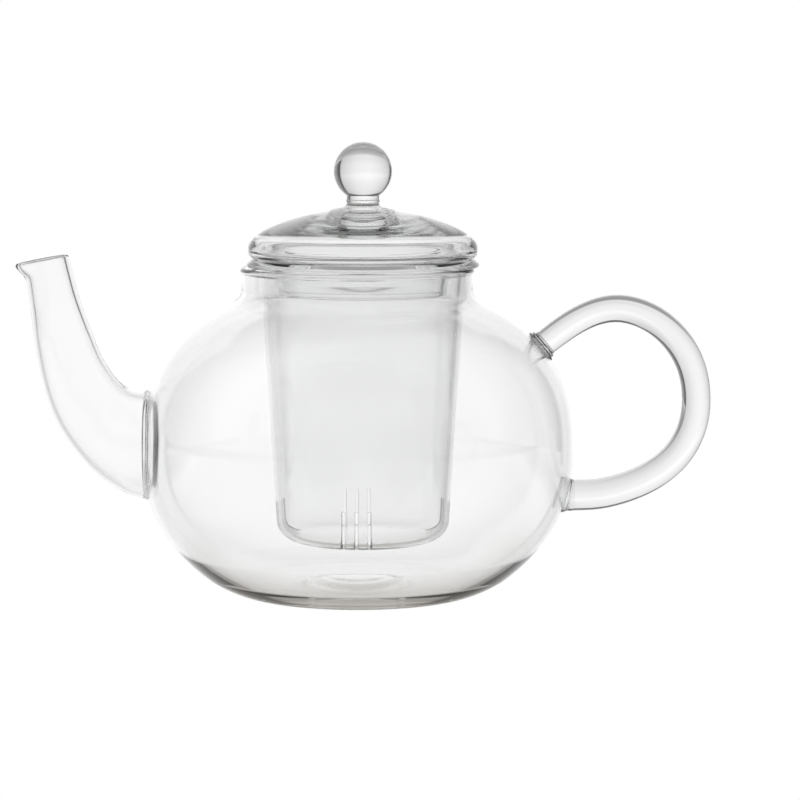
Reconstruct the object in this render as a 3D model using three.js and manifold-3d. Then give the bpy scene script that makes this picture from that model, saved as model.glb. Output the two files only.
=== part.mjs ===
// A clear glass teapot: a round bowl with a welded spout and loop handle, a lift-out glass infuser
// that hangs in the neck, and a domed lid with a ball knob and a locating collar.
// Millimetres, +Z up, standing on z = 0. The spout points along -X and the handle along +X.
// Each piece is drawn about the pot's own axis, and the whole is then moved along X so that the
// origin is the middle of the footprint from spout tip to handle.
import * as THREE from "three";
import { ParametricGeometry } from "three/addons/geometries/ParametricGeometry.js";
import { mergeVertices } from "three/addons/utils/BufferGeometryUtils.js";
import Module from "manifold-3d";

const wasm = await Module();
wasm.setup();

// ---------------------------------------------------------------- driving dimensions

// Bowl: two half superellipses that meet at the widest line
const BOWL_RADIUS = 75;
const WIDEST_Z = 50.5;
const UPPER_HEIGHT = 59;
const UPPER_POWER = 2.4;
const LOWER_HEIGHT = 59.1;
const LOWER_POWER = 2.11;
const SHOULDER_ANGLE = THREE.MathUtils.degToRad(48.8); // where the bowl turns into the neck
const HEEL_ANGLE = THREE.MathUtils.degToRad(-45.9); // where the bowl turns into the base
const BOWL_WALL = 2;
const BASE_WALL = 3.4;

// Base: a shallow round bottom that stands on a flat ring round a pressed-in middle
const BASE_TURN_RADIUS = 37; // where the ring's level and the heel's slope would meet
const FOOT_OUTER_RADIUS = 24;
const FOOT_INNER_RADIUS = 17.5;
const PUNT_TURN_RADIUS = 15.5;
const PUNT_RADIUS = 13.5;
const PUNT_RISE = 1.5;

// Neck and its rolled rim
const NECK_RADIUS = 40.1;
const NECK_START_Z = 107;
const NECK_FLARE = 2.2;
const BEAD_RADIUS = 1.4;
const BEAD_OUTER_RADIUS = 40.6;
const BEAD_START = -55; // degrees round the bead, from its outside over the top
const BEAD_END = 190;
const RIM_Z = 114.6;

// Infuser, a tapered glass cup with a flange
const FLANGE_RADIUS = 40.4;
const FLANGE_THICKNESS = 3;
const FLANGE_FILLET = 1.6;
const INFUSER_TOP_RADIUS = 35.5;
const INFUSER_LOW_RADIUS = 30.2;
const INFUSER_BOTTOM_Z = 19;
const INFUSER_CORNER = 7.6;
const INFUSER_WALL = 1.8;
const SLOT_WIDTH = 0.9;
const SLOT_PITCH = 4.4;
const SLOT_TOP_Z = 33;
const SLOT_INNER_REACH = 23;
const SLOT_DEPTH = 16; // of the saw's path, from its inner reach out through the wall
const FRONT_SLOT_OFFSET = -2.2; // the saw cuts through front and back pass beside the axis
const LOOSE_SHIFT = 1.95; // infuser and lid lie a little towards the handle in the loose neck

// Lid
const LID_RADIUS = 39.8;
const LID_WIDEST_Z = 121.2;
const LID_FLANK = new THREE.Vector2(26, 131.9); // draws the dome's slope between rim and knob
const LID_RIM_RISE = 5.6; // over the widest line, where the slope's curve takes over
const LID_WALL = 2;
const LID_TOP_Z = 135.4;
const COLLAR_TOP_RADIUS = 31;
const COLLAR_BOTTOM_RADIUS = 29.3;
const COLLAR_WALL = 1.8;
const COLLAR_BOTTOM_Z = 105;
const COLLAR_FILLET = 1.5;
const WEB_THICKNESS = 2; // the inward fold that carries the collar inside the lid's rim
const KNOB_RADIUS = 10.1;
const KNOB_CENTRE_Z = 147.8;
const STEM_RADIUS = 5.7;
const STEM_FOOT_RADIUS = 6.9;
const STEM_FLARE = 2.2;
const ROOT_RADIUS = 8.4;
const ROOT_BOTTOM_Z = 127.8;

// Spout
const SPOUT_AXIS_Z = 52.6;
const SPOUT_START_X = -73.9;
const SPOUT_BASE_RADIUS = 18.8;
const SPOUT_WALL = 1.8;
const LIP_LENGTH = 2.9;
const LIP_START = 0.93; // how far along the spout the pouring lip begins to stand out
const MOUTH_ROUNDING = 0.7;
const PORT_RADIUS = 15.3;
const WELD_INNER_RADIUS = 16.1;

// Handle, a bent glass rod: x, z and rod radius from the upper weld round to the lower one
const HANDLE_STATIONS = [
  [65.7, 88.6, 4.5],
  [72.4, 93.6, 4.6],
  [80.2, 98, 4.65],
  [89.6, 100.2, 4.8],
  [99.2, 98.2, 4.9],
  [108.4, 92, 4.95],
  [115.2, 82.2, 5],
  [117.9, 70.6, 5],
  [116.6, 58.8, 5.05],
  [111.3, 49, 5.1],
  [103, 42, 5.2],
  [92.4, 37.3, 5.3],
  [83, 35.2, 5.35],
  [75.6, 34.9, 5.4],
];
const UPPER_WELD_ANGLE = THREE.MathUtils.degToRad(40);
const UPPER_WELD_THICKNESS = 2.1;
const UPPER_WELD_RADIUS = 6.2;
const LOWER_WELD_THICKNESS = 2.9;
const LOWER_WELD_RADIUS = 6.1;

const REST_GAP = 0.15; // between pieces that lie on one another
const FUSED_GAP = 0.05; // between the lid's fold and the rim that it is fused to
const WELD_GAP = 0.3; // between a weld and the curved wall that it is shaped to
const ROUND = 40; // facets round the bowl, infuser and lid
const WELD_REACH = 12; // how deep a weld is drawn before the bowl's outside is cut away from it
const TURN = 2 * Math.PI;

// ---------------------------------------------------------------- outlines

const point = (r, z) => new THREE.Vector2(r, z);

// A stretch of a superellipse about (0, WIDEST_Z), from one direction angle to another.
function superArc(radius, height, power, from, to, steps) {
  const points = [];
  for (let i = 0; i <= steps; i++) {
    const angle = from + ((to - from) * i) / steps;
    const across = Math.cos(angle);
    const up = Math.sin(angle);
    const reach = ((across / radius) ** power + (Math.abs(up) / height) ** power) ** (-1 / power);
    points.push(point(reach * across, WIDEST_Z + reach * up));
  }
  return points;
}

function arc(centreR, centreZ, radius, fromDegrees, toDegrees, steps) {
  const points = [];
  for (let i = 0; i <= steps; i++) {
    const angle = THREE.MathUtils.degToRad(fromDegrees + ((toDegrees - fromDegrees) * i) / steps);
    points.push(point(centreR + radius * Math.cos(angle), centreZ + radius * Math.sin(angle)));
  }
  return points;
}

const bend = (start, control, end, steps) =>
  new THREE.QuadraticBezierCurve(start, control, end).getPoints(steps);

const sweepCurve = (start, controlA, controlB, end, steps) =>
  new THREE.CubicBezierCurve(start, controlA, controlB, end).getPoints(steps);

// ---------------------------------------------------------------- solids

// Turns an outline of (radius, height) points round the +Z axis.
function turned(outline, facets = ROUND) {
  const clean = outline.filter((p, i) => i === 0 || p.distanceTo(outline[i - 1]) > 1e-3);
  return new THREE.LatheGeometry(clean, facets).rotateX(Math.PI / 2);
}

// A closed surface through a list of stations: pointAt gives the point of a station at a turn 0..1.
function lofted(stations, pointAt, facets) {
  const last = stations.length - 1;
  const surface = (u, v, target) => {
    const place = u * last;
    const index = Math.min(Math.floor(place + 1e-9), last - 1);
    const here = pointAt(stations[index], v % 1);
    const next = pointAt(stations[index + 1], v % 1);
    target.copy(here.lerp(next, place - index));
  };
  return new ParametricGeometry(surface, last, facets);
}

function solidOf(geometry) {
  const bare = geometry.clone();
  bare.deleteAttribute("normal");
  bare.deleteAttribute("uv");
  const merged = mergeVertices(bare, 1e-4);
  return new wasm.Manifold(
    new wasm.Mesh({
      numProp: 3,
      vertProperties: merged.attributes.position.array,
      triVerts: new Uint32Array(merged.index.array),
    }),
  );
}

function geometryOf(solid) {
  const mesh = solid.getMesh();
  const geometry = new THREE.BufferGeometry();
  geometry.setAttribute("position", new THREE.BufferAttribute(mesh.vertProperties, 3));
  geometry.setIndex(new THREE.BufferAttribute(mesh.triVerts, 1));
  geometry.computeVertexNormals();
  return geometry;
}

const cutBy = (geometry, cutters) =>
  geometryOf(cutters.reduce((solid, cutter) => solid.subtract(solidOf(cutter)), solidOf(geometry)));

const pot = new THREE.Group();
const loose = new THREE.Group();
loose.position.x = LOOSE_SHIFT;
pot.add(loose);

function add(parent, name, geometry, tint) {
  const glass = new THREE.MeshStandardMaterial({
    color: tint,
    roughness: 0.02,
    metalness: 0,
    transparent: true,
    opacity: 0.35,
  });
  const mesh = new THREE.Mesh(geometry, glass);
  mesh.name = name;
  parent.add(mesh);
}

const CLEAR = 0xeef2f1;
const THICK_CLEAR = 0xdfe5e2;

// ---------------------------------------------------------------- pot

// The bowl's round outside on its own, used to shape the welds that lie against it.
function bowlOutside(margin) {
  const pole = Math.PI / 2;
  const lower = superArc(
    BOWL_RADIUS + margin, LOWER_HEIGHT + margin, LOWER_POWER, -pole, 0, 24);
  const upper = superArc(
    BOWL_RADIUS + margin, UPPER_HEIGHT + margin, UPPER_POWER, 0, pole, 24);
  return turned([...lower, ...upper.slice(1)]);
}

// The outline of the base, from its middle out to just before the heel, lifted by a wall.
function baseOutline(heel, lift) {
  return [
    point(0, PUNT_RISE + lift),
    ...bend(point(PUNT_RADIUS, PUNT_RISE + lift), point(PUNT_TURN_RADIUS, lift),
      point(FOOT_INNER_RADIUS, lift), 3),
    ...bend(point(FOOT_OUTER_RADIUS, lift), point(BASE_TURN_RADIUS, lift), heel, 6).slice(0, -1),
  ];
}

function bowl() {
  const innerRadius = BOWL_RADIUS - BOWL_WALL;
  const innerNeck = NECK_RADIUS - BOWL_WALL;
  const innerLowerHeight = LOWER_HEIGHT - BASE_WALL;
  const lowerOutside = superArc(BOWL_RADIUS, LOWER_HEIGHT, LOWER_POWER, HEEL_ANGLE, 0, 8);
  const upperOutside = superArc(BOWL_RADIUS, UPPER_HEIGHT, UPPER_POWER, 0, SHOULDER_ANGLE, 7);
  const upperInside = superArc(
    innerRadius, UPPER_HEIGHT - BOWL_WALL, UPPER_POWER, SHOULDER_ANGLE, 0, 6);
  const lowerInside = superArc(innerRadius, innerLowerHeight, LOWER_POWER, 0, HEEL_ANGLE, 7);
  const shoulder = upperOutside.at(-1);
  const innerShoulder = upperInside[0];
  const outline = [
    ...baseOutline(lowerOutside[0], 0),
    ...lowerOutside,
    ...upperOutside.slice(1),
    ...bend(shoulder, point(NECK_RADIUS, shoulder.y + NECK_FLARE),
      point(NECK_RADIUS, NECK_START_Z), 3),
    ...arc(BEAD_OUTER_RADIUS - BEAD_RADIUS, RIM_Z - BEAD_RADIUS, BEAD_RADIUS, BEAD_START, BEAD_END, 6),
    ...bend(point(innerNeck, NECK_START_Z), point(innerNeck, innerShoulder.y + NECK_FLARE),
      innerShoulder, 3),
    ...upperInside.slice(1),
    ...lowerInside.slice(1),
    ...baseOutline(lowerInside.at(-1), BASE_WALL).reverse(),
  ];
  const port = new THREE.CylinderGeometry(PORT_RADIUS, PORT_RADIUS, BOWL_RADIUS / 2, 32)
    .rotateZ(Math.PI / 2)
    .translate(-BOWL_RADIUS, 0, SPOUT_AXIS_Z);
  return cutBy(turned(outline), [port]);
}

// The spout's lower and upper edges in the XZ plane, from the bowl to the mouth.
const spoutUnder = new THREE.SplineCurve([
  point(SPOUT_START_X, SPOUT_AXIS_Z - SPOUT_BASE_RADIUS),
  point(-81.3, 36.1),
  point(-92.2, 43.9),
  point(-102.4, 56.9),
  point(-108, 69.7),
  point(-111.5, 85),
  point(-113.5, 101),
  point(-115.6, 115.3),
]);
const spoutOver = new THREE.SplineCurve([
  point(SPOUT_START_X, SPOUT_AXIS_Z + SPOUT_BASE_RADIUS),
  point(-81.4, 73.4),
  point(-88, 82),
  point(-92.4, 92.5),
  point(-96.7, 105),
  point(-99.9, 118.2),
]);

// A point of the spout's wall at u along it, sunk into the wall by inset and raised past the mouth.
function spoutPoint({ u, inset, raise }, turn) {
  const under = spoutUnder.getPoint(u);
  const over = spoutOver.getPoint(u);
  const middle = under.clone().add(over).multiplyScalar(0.5);
  const towards = under.clone().sub(over).normalize();
  const halfHeight = under.distanceTo(over) / 2;
  const nearby = 0.02;
  const before = Math.max(u - nearby, 0);
  const after = Math.min(u + nearby, 1);
  const flow = spoutUnder.getPoint(after).add(spoutOver.getPoint(after))
    .sub(spoutUnder.getPoint(before)).sub(spoutOver.getPoint(before)).normalize();
  const squared = Math.abs(towards.x * flow.y - towards.y * flow.x);
  const leaveJoint = THREE.MathUtils.smoothstep(u, 0, 0.3);
  const halfWidth = halfHeight * THREE.MathUtils.lerp(1, squared, leaveJoint);
  const angle = turn * TURN;
  const beak = THREE.MathUtils.smoothstep(u, LIP_START, 1) * Math.max(0, Math.cos(angle)) ** 4;
  const out = (halfHeight - inset) * Math.cos(angle) + LIP_LENGTH * beak;
  const side = (halfWidth - inset) * Math.sin(angle);
  return new THREE.Vector3(
    middle.x + towards.x * out + flow.x * raise,
    side,
    middle.y + towards.y * out + flow.y * raise,
  );
}

function spout() {
  const steps = 18;
  const wall = (inset) =>
    Array.from({ length: steps + 1 }, (_, i) => ({ u: i / steps, inset, raise: 0 }));
  const lip = { u: 1, inset: SPOUT_WALL / 2, raise: MOUTH_ROUNDING };
  const outside = wall(0);
  const stations = [...outside, lip, ...wall(SPOUT_WALL).reverse(), outside[0]];
  return lofted(stations, spoutPoint, 20);
}

// A ring of glass between the spout and the bowl, with a low bead round its edge.
function spoutWeld() {
  const bulge = 0.4;
  const inner = WELD_INNER_RADIUS;
  const outer = SPOUT_BASE_RADIUS;
  const outline = [
    point(inner, -WELD_REACH),
    point(outer, -WELD_REACH),
    point(outer, -4 * bulge),
    point(outer + bulge, -3 * bulge),
    point(outer + bulge, -bulge),
    point(outer, 0),
    point(inner, 0),
    point(inner, -WELD_REACH),
  ];
  const ring = turned(outline, 32)
    .rotateY(-Math.PI / 2)
    .translate(SPOUT_START_X, 0, SPOUT_AXIS_Z);
  return cutBy(ring, [bowlOutside(WELD_GAP)]);
}

// The handle's rod as evenly spaced rings: centre, direction and radius. The centre line and
// the radius follow the natural cubic spline through the stations.
function handleRings(steps) {
  const count = HANDLE_STATIONS.length;
  const knots = [0];
  for (let i = 1; i < count; i++) {
    const [x, z] = HANDLE_STATIONS[i];
    const [lastX, lastZ] = HANDLE_STATIONS[i - 1];
    knots.push(knots[i - 1] + Math.hypot(x - lastX, z - lastZ));
  }
  const span = (i) => knots[i + 1] - knots[i];
  const rise = (i, k) => (HANDLE_STATIONS[i + 1][k] - HANDLE_STATIONS[i][k]) / span(i);
  const bends = [0, 1, 2].map((k) => {
    const diagonal = [1];
    const right = [0];
    for (let i = 1; i < count - 1; i++) {
      const share = i === 1 ? 0 : span(i - 1) / diagonal[i - 1];
      diagonal.push(2 * (span(i - 1) + span(i)) - share * span(i - 1));
      right.push(6 * (rise(i, k) - rise(i - 1, k)) - share * right[i - 1]);
    }
    const second = new Array(count).fill(0);
    for (let i = count - 2; i > 0; i--) {
      second[i] = (right[i] - span(i) * second[i + 1]) / diagonal[i];
    }
    return second;
  });
  const at = (along) => {
    let i = 0;
    while (i < count - 2 && along > knots[i + 1]) i++;
    const before = knots[i + 1] - along;
    const after = along - knots[i];
    return [0, 1, 2].map((k) => {
      const startBend = bends[k][i] / (6 * span(i));
      const endBend = bends[k][i + 1] / (6 * span(i));
      return (
        startBend * before ** 3 +
        endBend * after ** 3 +
        (HANDLE_STATIONS[i][k] / span(i) - startBend * span(i) ** 2) * before +
        (HANDLE_STATIONS[i + 1][k] / span(i) - endBend * span(i) ** 2) * after
      );
    });
  };
  const length = knots.at(-1);
  const short = 0.01;
  return Array.from({ length: steps + 1 }, (_, i) => {
    const along = (length * i) / steps;
    const [x, z, radius] = at(along);
    const [nextX, nextZ] = at(Math.min(along + short, length));
    const [lastX, lastZ] = at(Math.max(along - short, 0));
    return {
      centre: point(x, z),
      flow: point(nextX - lastX, nextZ - lastZ).normalize(),
      radius,
    };
  });
}

const handleStart = point(HANDLE_STATIONS[0][0], HANDLE_STATIONS[0][1]);
const handleEnd = point(HANDLE_STATIONS.at(-1)[0], HANDLE_STATIONS.at(-1)[1]);
const weldDirection = point(Math.cos(UPPER_WELD_ANGLE), Math.sin(UPPER_WELD_ANGLE));

function handle() {
  const rings = handleRings(34);
  rings[0].flow = weldDirection;
  rings.at(-1).flow = point(-1, 0);
  const rodPoint = ({ centre, flow, radius }, turn) => {
    const out = radius * Math.cos(turn * TURN);
    return new THREE.Vector3(
      centre.x - flow.y * out,
      radius * Math.sin(turn * TURN),
      centre.y + flow.x * out,
    );
  };
  const closing = (ring) => ({ ...ring, radius: 0 });
  return lofted([closing(rings[0]), ...rings, closing(rings.at(-1))], rodPoint, 16);
}

// A squat round pad of glass, wider at the bowl, whose outer face carries the handle's end.
function weldPad(bowlRadius, rodRadius, thickness) {
  return turned([
    point(0, -WELD_REACH),
    point(bowlRadius, -WELD_REACH),
    ...bend(point(bowlRadius, -thickness), point(rodRadius, -thickness / 2),
      point(rodRadius, 0), 3),
    point(0, 0),
  ], 20);
}

function handleUpperWeld() {
  const face = handleStart.clone().addScaledVector(weldDirection, -WELD_GAP);
  const pad = weldPad(UPPER_WELD_RADIUS, HANDLE_STATIONS[0][2], UPPER_WELD_THICKNESS)
    .rotateY(Math.PI / 2 - UPPER_WELD_ANGLE)
    .translate(face.x, 0, face.y);
  return cutBy(pad, [bowlOutside(WELD_GAP)]);
}

function handleLowerWeld() {
  const pad = weldPad(LOWER_WELD_RADIUS, HANDLE_STATIONS.at(-1)[2], LOWER_WELD_THICKNESS)
    .rotateY(Math.PI / 2)
    .translate(handleEnd.x, 0, handleEnd.y);
  return cutBy(pad, [bowlOutside(WELD_GAP)]);
}

// ---------------------------------------------------------------- infuser

const flangeBottomZ = RIM_Z + REST_GAP;
const flangeTopZ = flangeBottomZ + FLANGE_THICKNESS;

function infuser() {
  const roundR = INFUSER_LOW_RADIUS - INFUSER_CORNER;
  const roundZ = INFUSER_BOTTOM_Z + INFUSER_CORNER;
  const flangeRound = FLANGE_THICKNESS / 2;
  const innerTop = INFUSER_TOP_RADIUS - INFUSER_WALL;
  const outline = [
    point(0, INFUSER_BOTTOM_Z),
    ...arc(roundR, roundZ, INFUSER_CORNER, -90, 0, 5),
    ...bend(point(INFUSER_TOP_RADIUS, flangeBottomZ - FLANGE_FILLET),
      point(INFUSER_TOP_RADIUS, flangeBottomZ),
      point(INFUSER_TOP_RADIUS + FLANGE_FILLET, flangeBottomZ), 3),
    ...arc(FLANGE_RADIUS - flangeRound, flangeBottomZ + flangeRound, flangeRound, -90, 90, 5),
    ...bend(point(innerTop + FLANGE_FILLET, flangeTopZ), point(innerTop, flangeTopZ),
      point(innerTop, flangeTopZ - FLANGE_FILLET), 3),
    ...arc(roundR, roundZ, INFUSER_CORNER - INFUSER_WALL, 0, -90, 4),
    point(0, INFUSER_BOTTOM_Z + INFUSER_WALL),
  ];
  const low = INFUSER_BOTTOM_Z - 2 * INFUSER_WALL;
  const slotHeight = SLOT_TOP_Z - low;
  const middle = (SLOT_TOP_Z + low) / 2;
  const cutters = [];
  for (const side of [-1, 1]) {
    for (const place of [-1, 0, 1]) {
      const out = side * (SLOT_INNER_REACH + SLOT_DEPTH / 2);
      cutters.push(
        new THREE.BoxGeometry(SLOT_DEPTH, SLOT_WIDTH, slotHeight)
          .translate(out, place * SLOT_PITCH, middle),
        new THREE.BoxGeometry(SLOT_WIDTH, SLOT_DEPTH, slotHeight)
          .translate(FRONT_SLOT_OFFSET + place * SLOT_PITCH, out, middle),
      );
    }
  }
  return cutBy(turned(outline), cutters);
}

// ---------------------------------------------------------------- lid

const seatZ = flangeTopZ + REST_GAP;
const lidInside = LID_RADIUS - LID_WALL;

function lidDome() {
  const rootTop = point(ROOT_RADIUS, LID_TOP_Z - LID_WALL);
  const underside = sweepCurve(
    rootTop, point(LID_FLANK.x, LID_FLANK.y - LID_WALL),
    point(lidInside, LID_WIDEST_Z + LID_RIM_RISE - LID_WALL), point(lidInside, LID_WIDEST_Z), 6);
  const root = bend(point(0, ROOT_BOTTOM_Z), point(ROOT_RADIUS, ROOT_BOTTOM_Z), rootTop, 3);
  const outside = sweepCurve(
    point(LID_RADIUS, LID_WIDEST_Z), point(LID_RADIUS, LID_WIDEST_Z + LID_RIM_RISE), LID_FLANK,
    point(STEM_FOOT_RADIUS, LID_TOP_Z), 8);
  return turned([
    ...root,
    ...underside.slice(1),
    point(lidInside, seatZ),
    ...bend(point(LID_RADIUS - LID_WALL / 2, seatZ), point(LID_RADIUS, seatZ),
      point(LID_RADIUS, LID_WIDEST_Z), 3),
    ...outside.slice(1),
    point(0, LID_TOP_Z),
  ]);
}

// A tapering glass tube that hangs from a flat fold inside the dome's rim.
function lidCollar() {
  const edge = COLLAR_WALL / 2;
  const outside = COLLAR_TOP_RADIUS;
  const inside = COLLAR_TOP_RADIUS - COLLAR_WALL;
  const webOuter = lidInside - FUSED_GAP;
  const webTop = seatZ + WEB_THICKNESS;
  return turned([
    point(webOuter, webTop),
    ...bend(point(inside + COLLAR_FILLET, webTop), point(inside, webTop),
      point(inside, webTop - COLLAR_FILLET), 3),
    ...arc(COLLAR_BOTTOM_RADIUS - edge, COLLAR_BOTTOM_Z + edge, edge, 180, 360, 5),
    ...bend(point(outside, seatZ - COLLAR_FILLET), point(outside, seatZ),
      point(outside + COLLAR_FILLET, seatZ), 3),
    point(webOuter, seatZ),
    point(webOuter, webTop),
  ]);
}

// A ball on a short stem that spreads where it meets the dome.
function lidKnob() {
  const ballAngle = -THREE.MathUtils.radToDeg(Math.acos(STEM_RADIUS / KNOB_RADIUS));
  return turned([
    point(0, LID_TOP_Z),
    ...bend(point(STEM_FOOT_RADIUS, LID_TOP_Z), point(STEM_RADIUS, LID_TOP_Z),
      point(STEM_RADIUS, LID_TOP_Z + STEM_FLARE), 3),
    ...arc(0, KNOB_CENTRE_Z, KNOB_RADIUS, ballAngle, 90, 11),
  ], 24);
}

// ---------------------------------------------------------------- the teapot

add(pot, "bowl", bowl(), CLEAR);
add(pot, "spout", spout(), CLEAR);
add(pot, "spout_weld", spoutWeld(), THICK_CLEAR);
add(pot, "handle", handle(), CLEAR);
add(pot, "handle_upper_weld", handleUpperWeld(), THICK_CLEAR);
add(pot, "handle_lower_weld", handleLowerWeld(), THICK_CLEAR);
add(loose, "infuser", infuser(), CLEAR);
add(loose, "lid_dome", lidDome(), CLEAR);
add(loose, "lid_collar", lidCollar(), CLEAR);
add(loose, "lid_knob", lidKnob(), THICK_CLEAR);

const footprint = new THREE.Box3().setFromObject(pot);
pot.position.x = -(footprint.min.x + footprint.max.x) / 2;

const teapot = new THREE.Group();
teapot.add(pot);

export default teapot;
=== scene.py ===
import math

import bmesh
import bpy
import numpy as np
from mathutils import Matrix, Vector


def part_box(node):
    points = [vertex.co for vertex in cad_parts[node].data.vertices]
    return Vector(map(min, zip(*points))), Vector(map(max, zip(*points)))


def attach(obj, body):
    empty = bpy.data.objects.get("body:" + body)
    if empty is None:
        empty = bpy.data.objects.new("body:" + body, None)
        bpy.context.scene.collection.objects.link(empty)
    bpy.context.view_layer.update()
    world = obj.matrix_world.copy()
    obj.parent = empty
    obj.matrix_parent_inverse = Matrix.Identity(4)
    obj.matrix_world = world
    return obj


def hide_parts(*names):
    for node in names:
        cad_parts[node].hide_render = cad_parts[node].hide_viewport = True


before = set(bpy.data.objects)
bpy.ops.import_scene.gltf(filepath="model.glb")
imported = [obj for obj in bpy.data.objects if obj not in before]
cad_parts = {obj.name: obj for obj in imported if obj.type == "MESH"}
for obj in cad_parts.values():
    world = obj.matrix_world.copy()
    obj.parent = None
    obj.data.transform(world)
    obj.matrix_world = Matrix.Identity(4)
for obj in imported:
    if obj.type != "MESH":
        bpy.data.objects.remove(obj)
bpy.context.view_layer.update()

# ------------------------------------------------------------------ sizes, from the frame
# Outlines are drawn in millimetres, as (radius, height) about an upright axis or as (x, z) from
# the pot's own axis, and MM turns them into the frame's metres. Angles are in degrees.

MM = 0.001


def box_mm(cad_node):
    """The lowest and the highest corner of a CAD node, in millimetres."""
    low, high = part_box(cad_node)
    return low / MM, high / MM


bowl_high = box_mm("bowl")[1]
spout_high = box_mm("spout")[1]
infuser_low, infuser_high = box_mm("infuser")
dome_low, dome_high = box_mm("lid_dome")
collar_low = box_mm("lid_collar")[0]
knob_low, knob_high = box_mm("lid_knob")

BOWL_RADIUS = bowl_high.y
POT_X = bowl_high.x - BOWL_RADIUS               # the pot's axis
LOOSE_X = (infuser_low.x + infuser_high.x) / 2  # the axis of the loose infuser and lid

# Above and below its widest line the bowl follows a superellipse, as far as these angles
WIDEST_Z = 50.5
UPPER_HEIGHT = 59.0
UPPER_POWER = 2.4
SHOULDER_ANGLE = 48.8
LOWER_HEIGHT = 59.1
LOWER_POWER = 2.11
HEEL_ANGLE = -45.9
HEEL_TURN = 6.0       # the angle over which the heel is rounded off
HEEL_ROUNDING = 5.0   # how far inside the heel its rounding begins
BOWL_WALL = 2.0
BASE_WALL = 2.7       # on the ground, easing to the bowl's wall over BASE_REACH
BASE_REACH = 16.0
FOOT_OUTER = 24.0
FOOT_INNER = 17.5
BASE_TURN = 37.0      # where the foot's level and the heel's slope would meet
PUNT_RISE = 1.5
PUNT_FLAT = 9.5       # the pushed-in middle is level as far as here
PUNT_RADIUS = 13.5
PUNT_TURN = 15.0      # where its slope and the ground would meet
FLOOR_FLAT = 8.0      # the same two radii on the bowl's inside
FLOOR_TURN = 16.5
NECK_RADIUS = 40.1
NECK_START_Z = 107.0
NECK_FLARE = 2.2
BEAD_RADIUS = 1.15
BEAD_OUTER = 40.6
BEAD_START = -55
BEAD_END = 190

INFUSER_TOP_RADIUS = 35.5
INFUSER_LOW_RADIUS = 30.2
INFUSER_CORNER = 7.6
INFUSER_WALL = 1.8
FLANGE_RADIUS = (infuser_high.x - infuser_low.x) / 2
FLANGE_THICKNESS = 3.0
FLANGE_FILLET = 1.6
FLANGE_EDGE = 0.75           # the rounding of the flange's lower edge
FLANGE_EDGE_END = 70
FLANGE_SLOPE = (1.6, 0.5)    # in and down from the flange's corner, where its top starts to slope
FLANGE_SLOPE_TURN = 3.0
FLANGE_SLOPE_END = 4.5
SLOT_WIDTH = 0.9
SLOT_PITCH = 4.4
SLOT_START = -88             # round the corner between floor and side
SLOT_TOP_Z = 33.0
SLOT_ROUNDING = 0.45         # of the melted edges
SLOT_CLEAR = 0.5             # how far the cutter stands out of the wall
FRONT_SLOT_OFFSET = -2.2

LID_RADIUS = (dome_high.x - dome_low.x) / 2
LID_SEAT_Z = dome_low.z
LID_TOP_Z = dome_high.z
LID_WIDEST_Z = 121.2
LID_RIM_RISE = 5.6
LID_FLANK = (26.0, 131.9)
LID_WALL = 2.0
LID_EDGE = (0.3, 0.7)        # in and up from the rim's lower corner, where its rounding turns
RIM_WALL = 1.5
RIM_DROP = 1.2               # how far the inside of the rim turns below the outside
FOLD_THICKNESS = 1.3
FOLD_ROUNDING = 1.5
FOLD_RISE = 0.5              # where the fold's rounding ends, above the lid's widest line
COLLAR_TOP_RADIUS = 31.0
COLLAR_BOTTOM_RADIUS = 29.3
COLLAR_WALL = 2.3
COLLAR_FILLET = 1.5
COLLAR_BEAD = 1.15           # the melted end of the collar
COLLAR_BEAD_START = 25
COLLAR_BEAD_END = -205
COLLAR_BEAD_RISE = 1.5       # from the bead's middle up to the plain wall
DOME_SHOULDER = (33.0, 127.2)  # inside the dome, which is heavier towards the knob
DOME_FLANK = (25.5, 129.05)
KNOB_RADIUS = (knob_high.y - knob_low.y) / 2
KNOB_CENTRE_Z = knob_high.z - KNOB_RADIUS
STEM_RADIUS = 5.7
STEM_WAIST = (0.15, 0.7)     # in from the stem and down from the ball
STEM_RIDGE_TOP_Z = 138.0
STEM_RIDGE_Z = 137.5
STEM_RIDGE_BOTTOM_Z = 137.0
STEM_RIDGE = 0.4             # the ridge stands out this far
STEM_STEP = 0.1              # and the stem below it stands back this far
STEM_FLARE = 0.3
STEM_FOOT_RADIUS = 6.9
ROOT_RADIUS = 8.4
ROOT_BOTTOM_Z = 127.8
ROOT_SHOULDER = (9.8, 131.3)
ROOT_SHOULDER_TURN_Z = 131.4
ROOT_BOTTOM_TURN = 5.2

SPOUT_START_X = spout_high.x - POT_X
SPOUT_AXIS_Z = 52.6
SPOUT_BASE_RADIUS = spout_high.y
SPOUT_WALL = 1.8
SPOUT_SETTLED = 0.3          # the share of its length in which the spout leaves its round joint
# x and z along the spout's underside and its top, from the joint to the lip
SPOUT_UNDER = [
    (SPOUT_START_X, SPOUT_AXIS_Z - SPOUT_BASE_RADIUS), (-81.3, 36.1), (-92.2, 43.9),
    (-102.4, 56.9), (-108, 69.7), (-111.5, 85), (-113.5, 101), (-115.6, 115.3),
]
SPOUT_OVER = [
    (SPOUT_START_X, SPOUT_AXIS_Z + SPOUT_BASE_RADIUS), (-81.4, 73.4), (-88, 82),
    (-92.4, 92.5), (-96.7, 105), (-99.9, 118.2),
]
LIP_LENGTH = 2.9
LIP_START = 0.93             # as a share of the spout's length
LIP_SHARPNESS = 4
PORT_RADIUS = 15.3
PORT_ENDS = (-8, 12)         # of the port's cutter, from the bowl's widest point
SPOUT_WELD_GAP = 0.3         # between the port and the fused ring
SPOUT_WELD_LAND = 1.2        # the flat next to the ring's edges
SPOUT_WELD_BULGE = 0.45

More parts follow.
